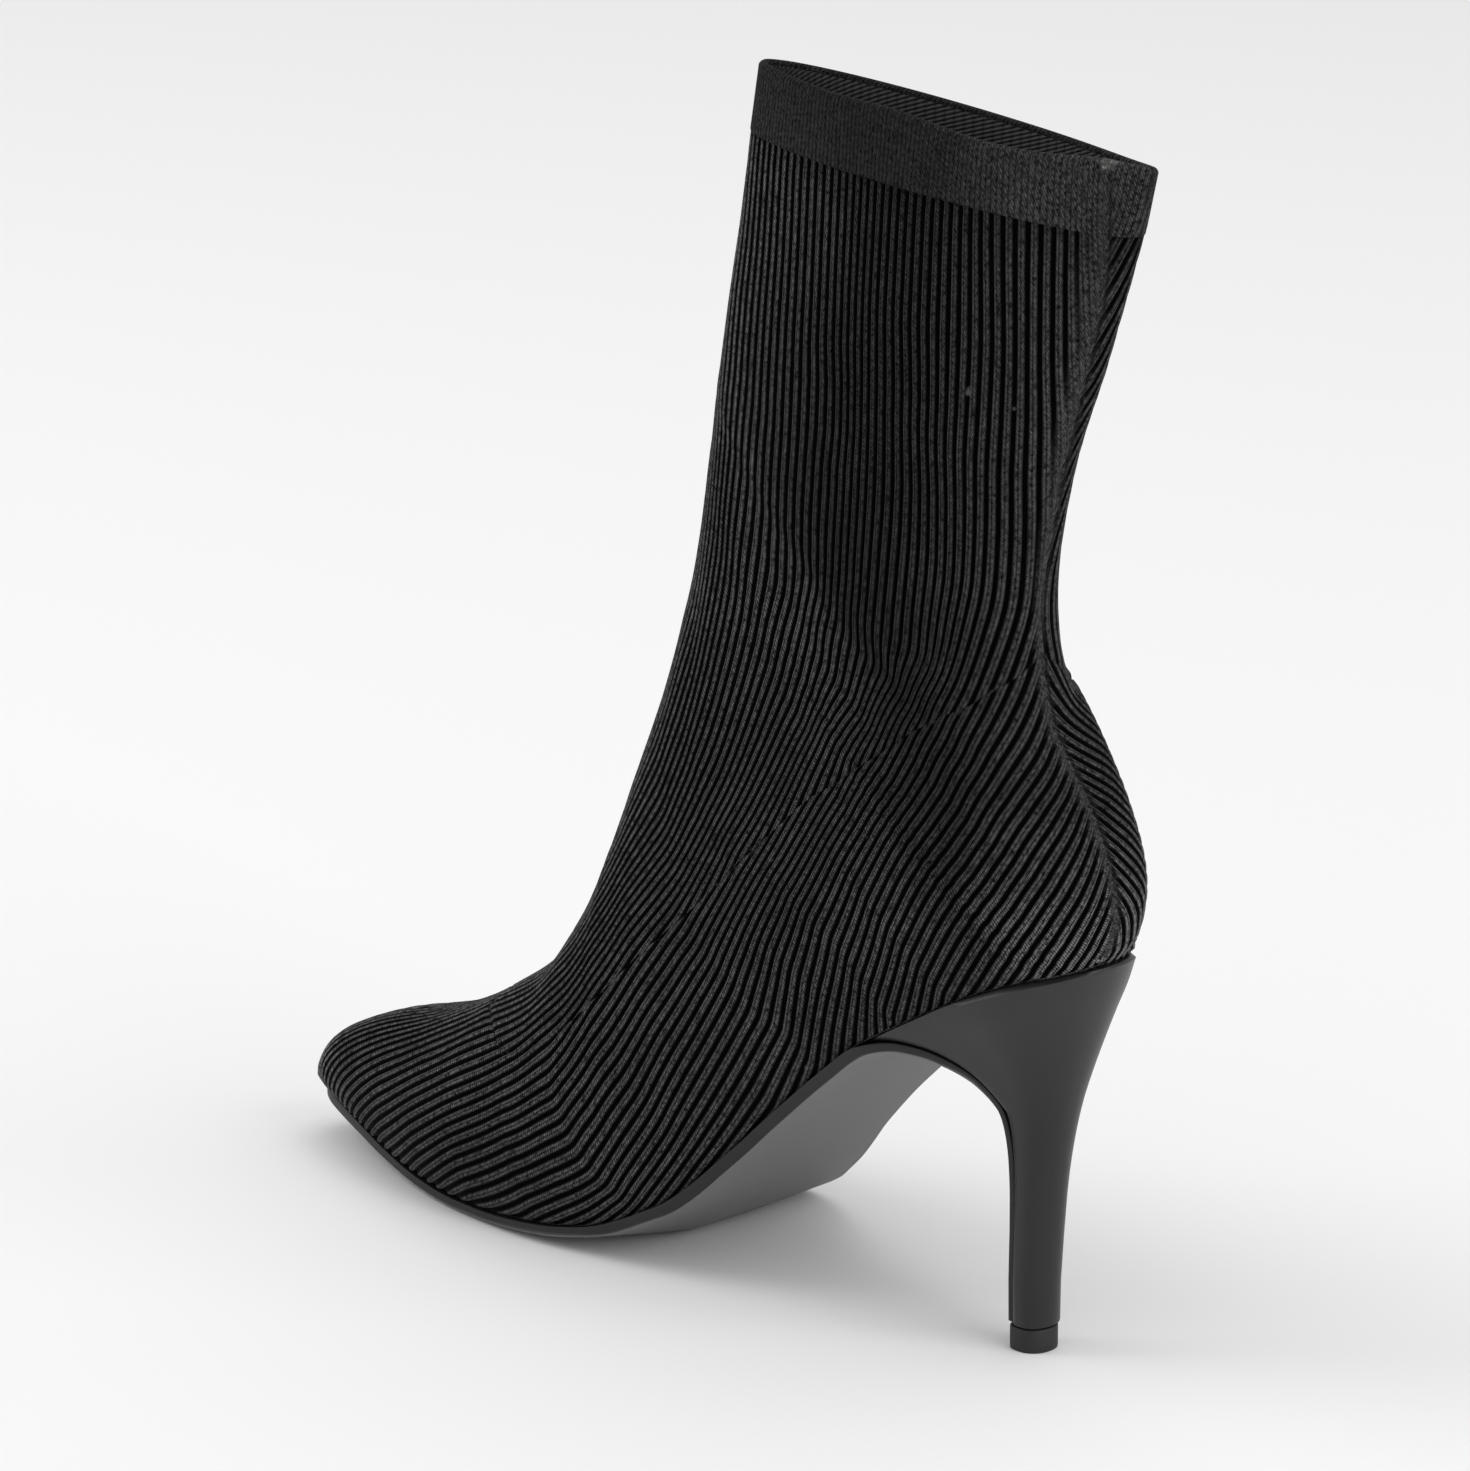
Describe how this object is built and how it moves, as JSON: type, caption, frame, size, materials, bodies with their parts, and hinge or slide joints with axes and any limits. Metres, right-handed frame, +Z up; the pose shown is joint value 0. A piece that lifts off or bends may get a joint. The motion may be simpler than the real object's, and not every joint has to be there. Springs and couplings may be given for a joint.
{
  "type": "sock boot",
  "caption": "Pull-on ribbed knit ankle boot for the right foot, with a pointed toe, a plain knit cuff, a thin outsole and a slim high heel.",
  "frame": {"origin": "on the floor under the middle of the heel's tip, on the bottom face of the heel's top piece", "axes": "+X towards the toe, +Y to the inner side of the right foot, +Z up the leg"},
  "size_m": [0.2442, 0.0725, 0.2654],
  "materials": {
    "knit": "ribbed knit, matt",
    "sole_rubber": "fine satin",
    "heel_lacquer": "satin black cover",
    "tip_rubber": "dense, matt",
    "sock_lining": "matt lining"
  },
  "bodies": {
    "root": {"upper": "knit", "outsole": "sole_rubber", "heel": "heel_lacquer", "heel_top_piece": "tip_rubber", "insole": "sock_lining"}
  },
  "joints": []
}
